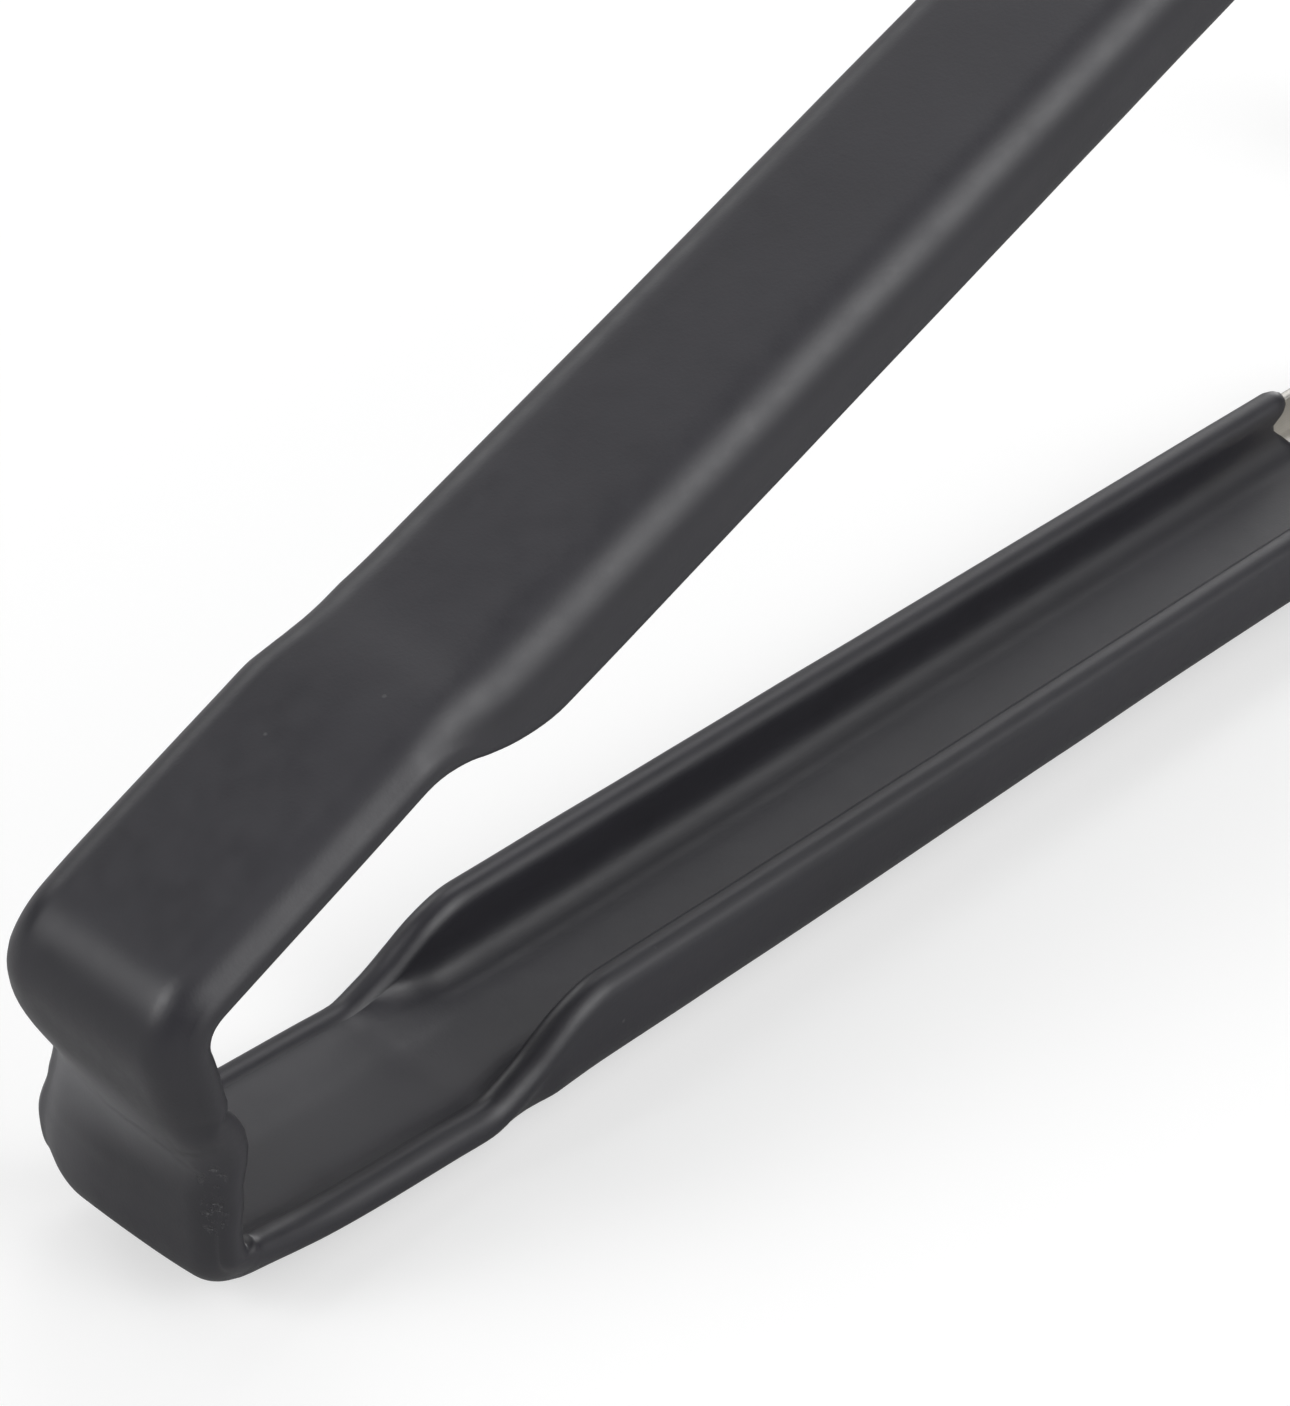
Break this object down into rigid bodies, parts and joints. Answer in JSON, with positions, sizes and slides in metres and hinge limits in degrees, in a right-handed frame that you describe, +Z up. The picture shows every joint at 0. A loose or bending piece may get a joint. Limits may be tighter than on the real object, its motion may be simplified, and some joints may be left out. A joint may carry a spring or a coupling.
{
  "type": "jar lifter",
  "caption": "Spring-steel jar lifter tongs with a soft dip-coated channel handle, a squared bow and curved, coated jaws that grip a preserving jar below its lid.",
  "frame": {"origin": "the middle of the flat back of the lower arm's grip, which is the face the lifter rests on, in the plane of symmetry", "axes": "+X runs along the lower arm from the bow to the jaws, +Z up from the lower arm to the upper arm, +Y across the arms"},
  "size_m": [0.254, 0.0642, 0.1235],
  "materials": {
    "grip_coating": "matte charcoal dip-coated soft vinyl, very fine speckle",
    "jaw_coating": "matte charcoal dip-coated soft vinyl, very fine speckle",
    "stainless_steel": "satin stainless spring steel, brushed along the arm",
    "rivet_steel": "smooth domed stainless rivet heads"
  },
  "bodies": {
    "lower_half": {"lower_arm": "stainless_steel", "lower_grip_sleeve": "grip_coating", "bow_spring": "stainless_steel", "bow_sleeve": "grip_coating", "lower_jaw": "stainless_steel", "lower_jaw_coating": "jaw_coating", "lower_jaw_rivets": "rivet_steel"},
    "upper_half": {"upper_arm": "stainless_steel", "upper_grip_sleeve": "grip_coating", "upper_jaw": "stainless_steel", "upper_jaw_coating": "jaw_coating", "upper_jaw_rivets": "rivet_steel"}
  },
  "joints": [
    {"name": "squeeze", "type": "hinge", "parent": "lower_half", "child": "upper_half", "pos_m": [-0.09946, 0, 0.01729], "axis": [0, 1, 0], "range_deg": [0, 18.5], "stiffness_Nm_per_rad": 4, "deforming": ["bow_spring", "bow_sleeve"]}
  ]
}
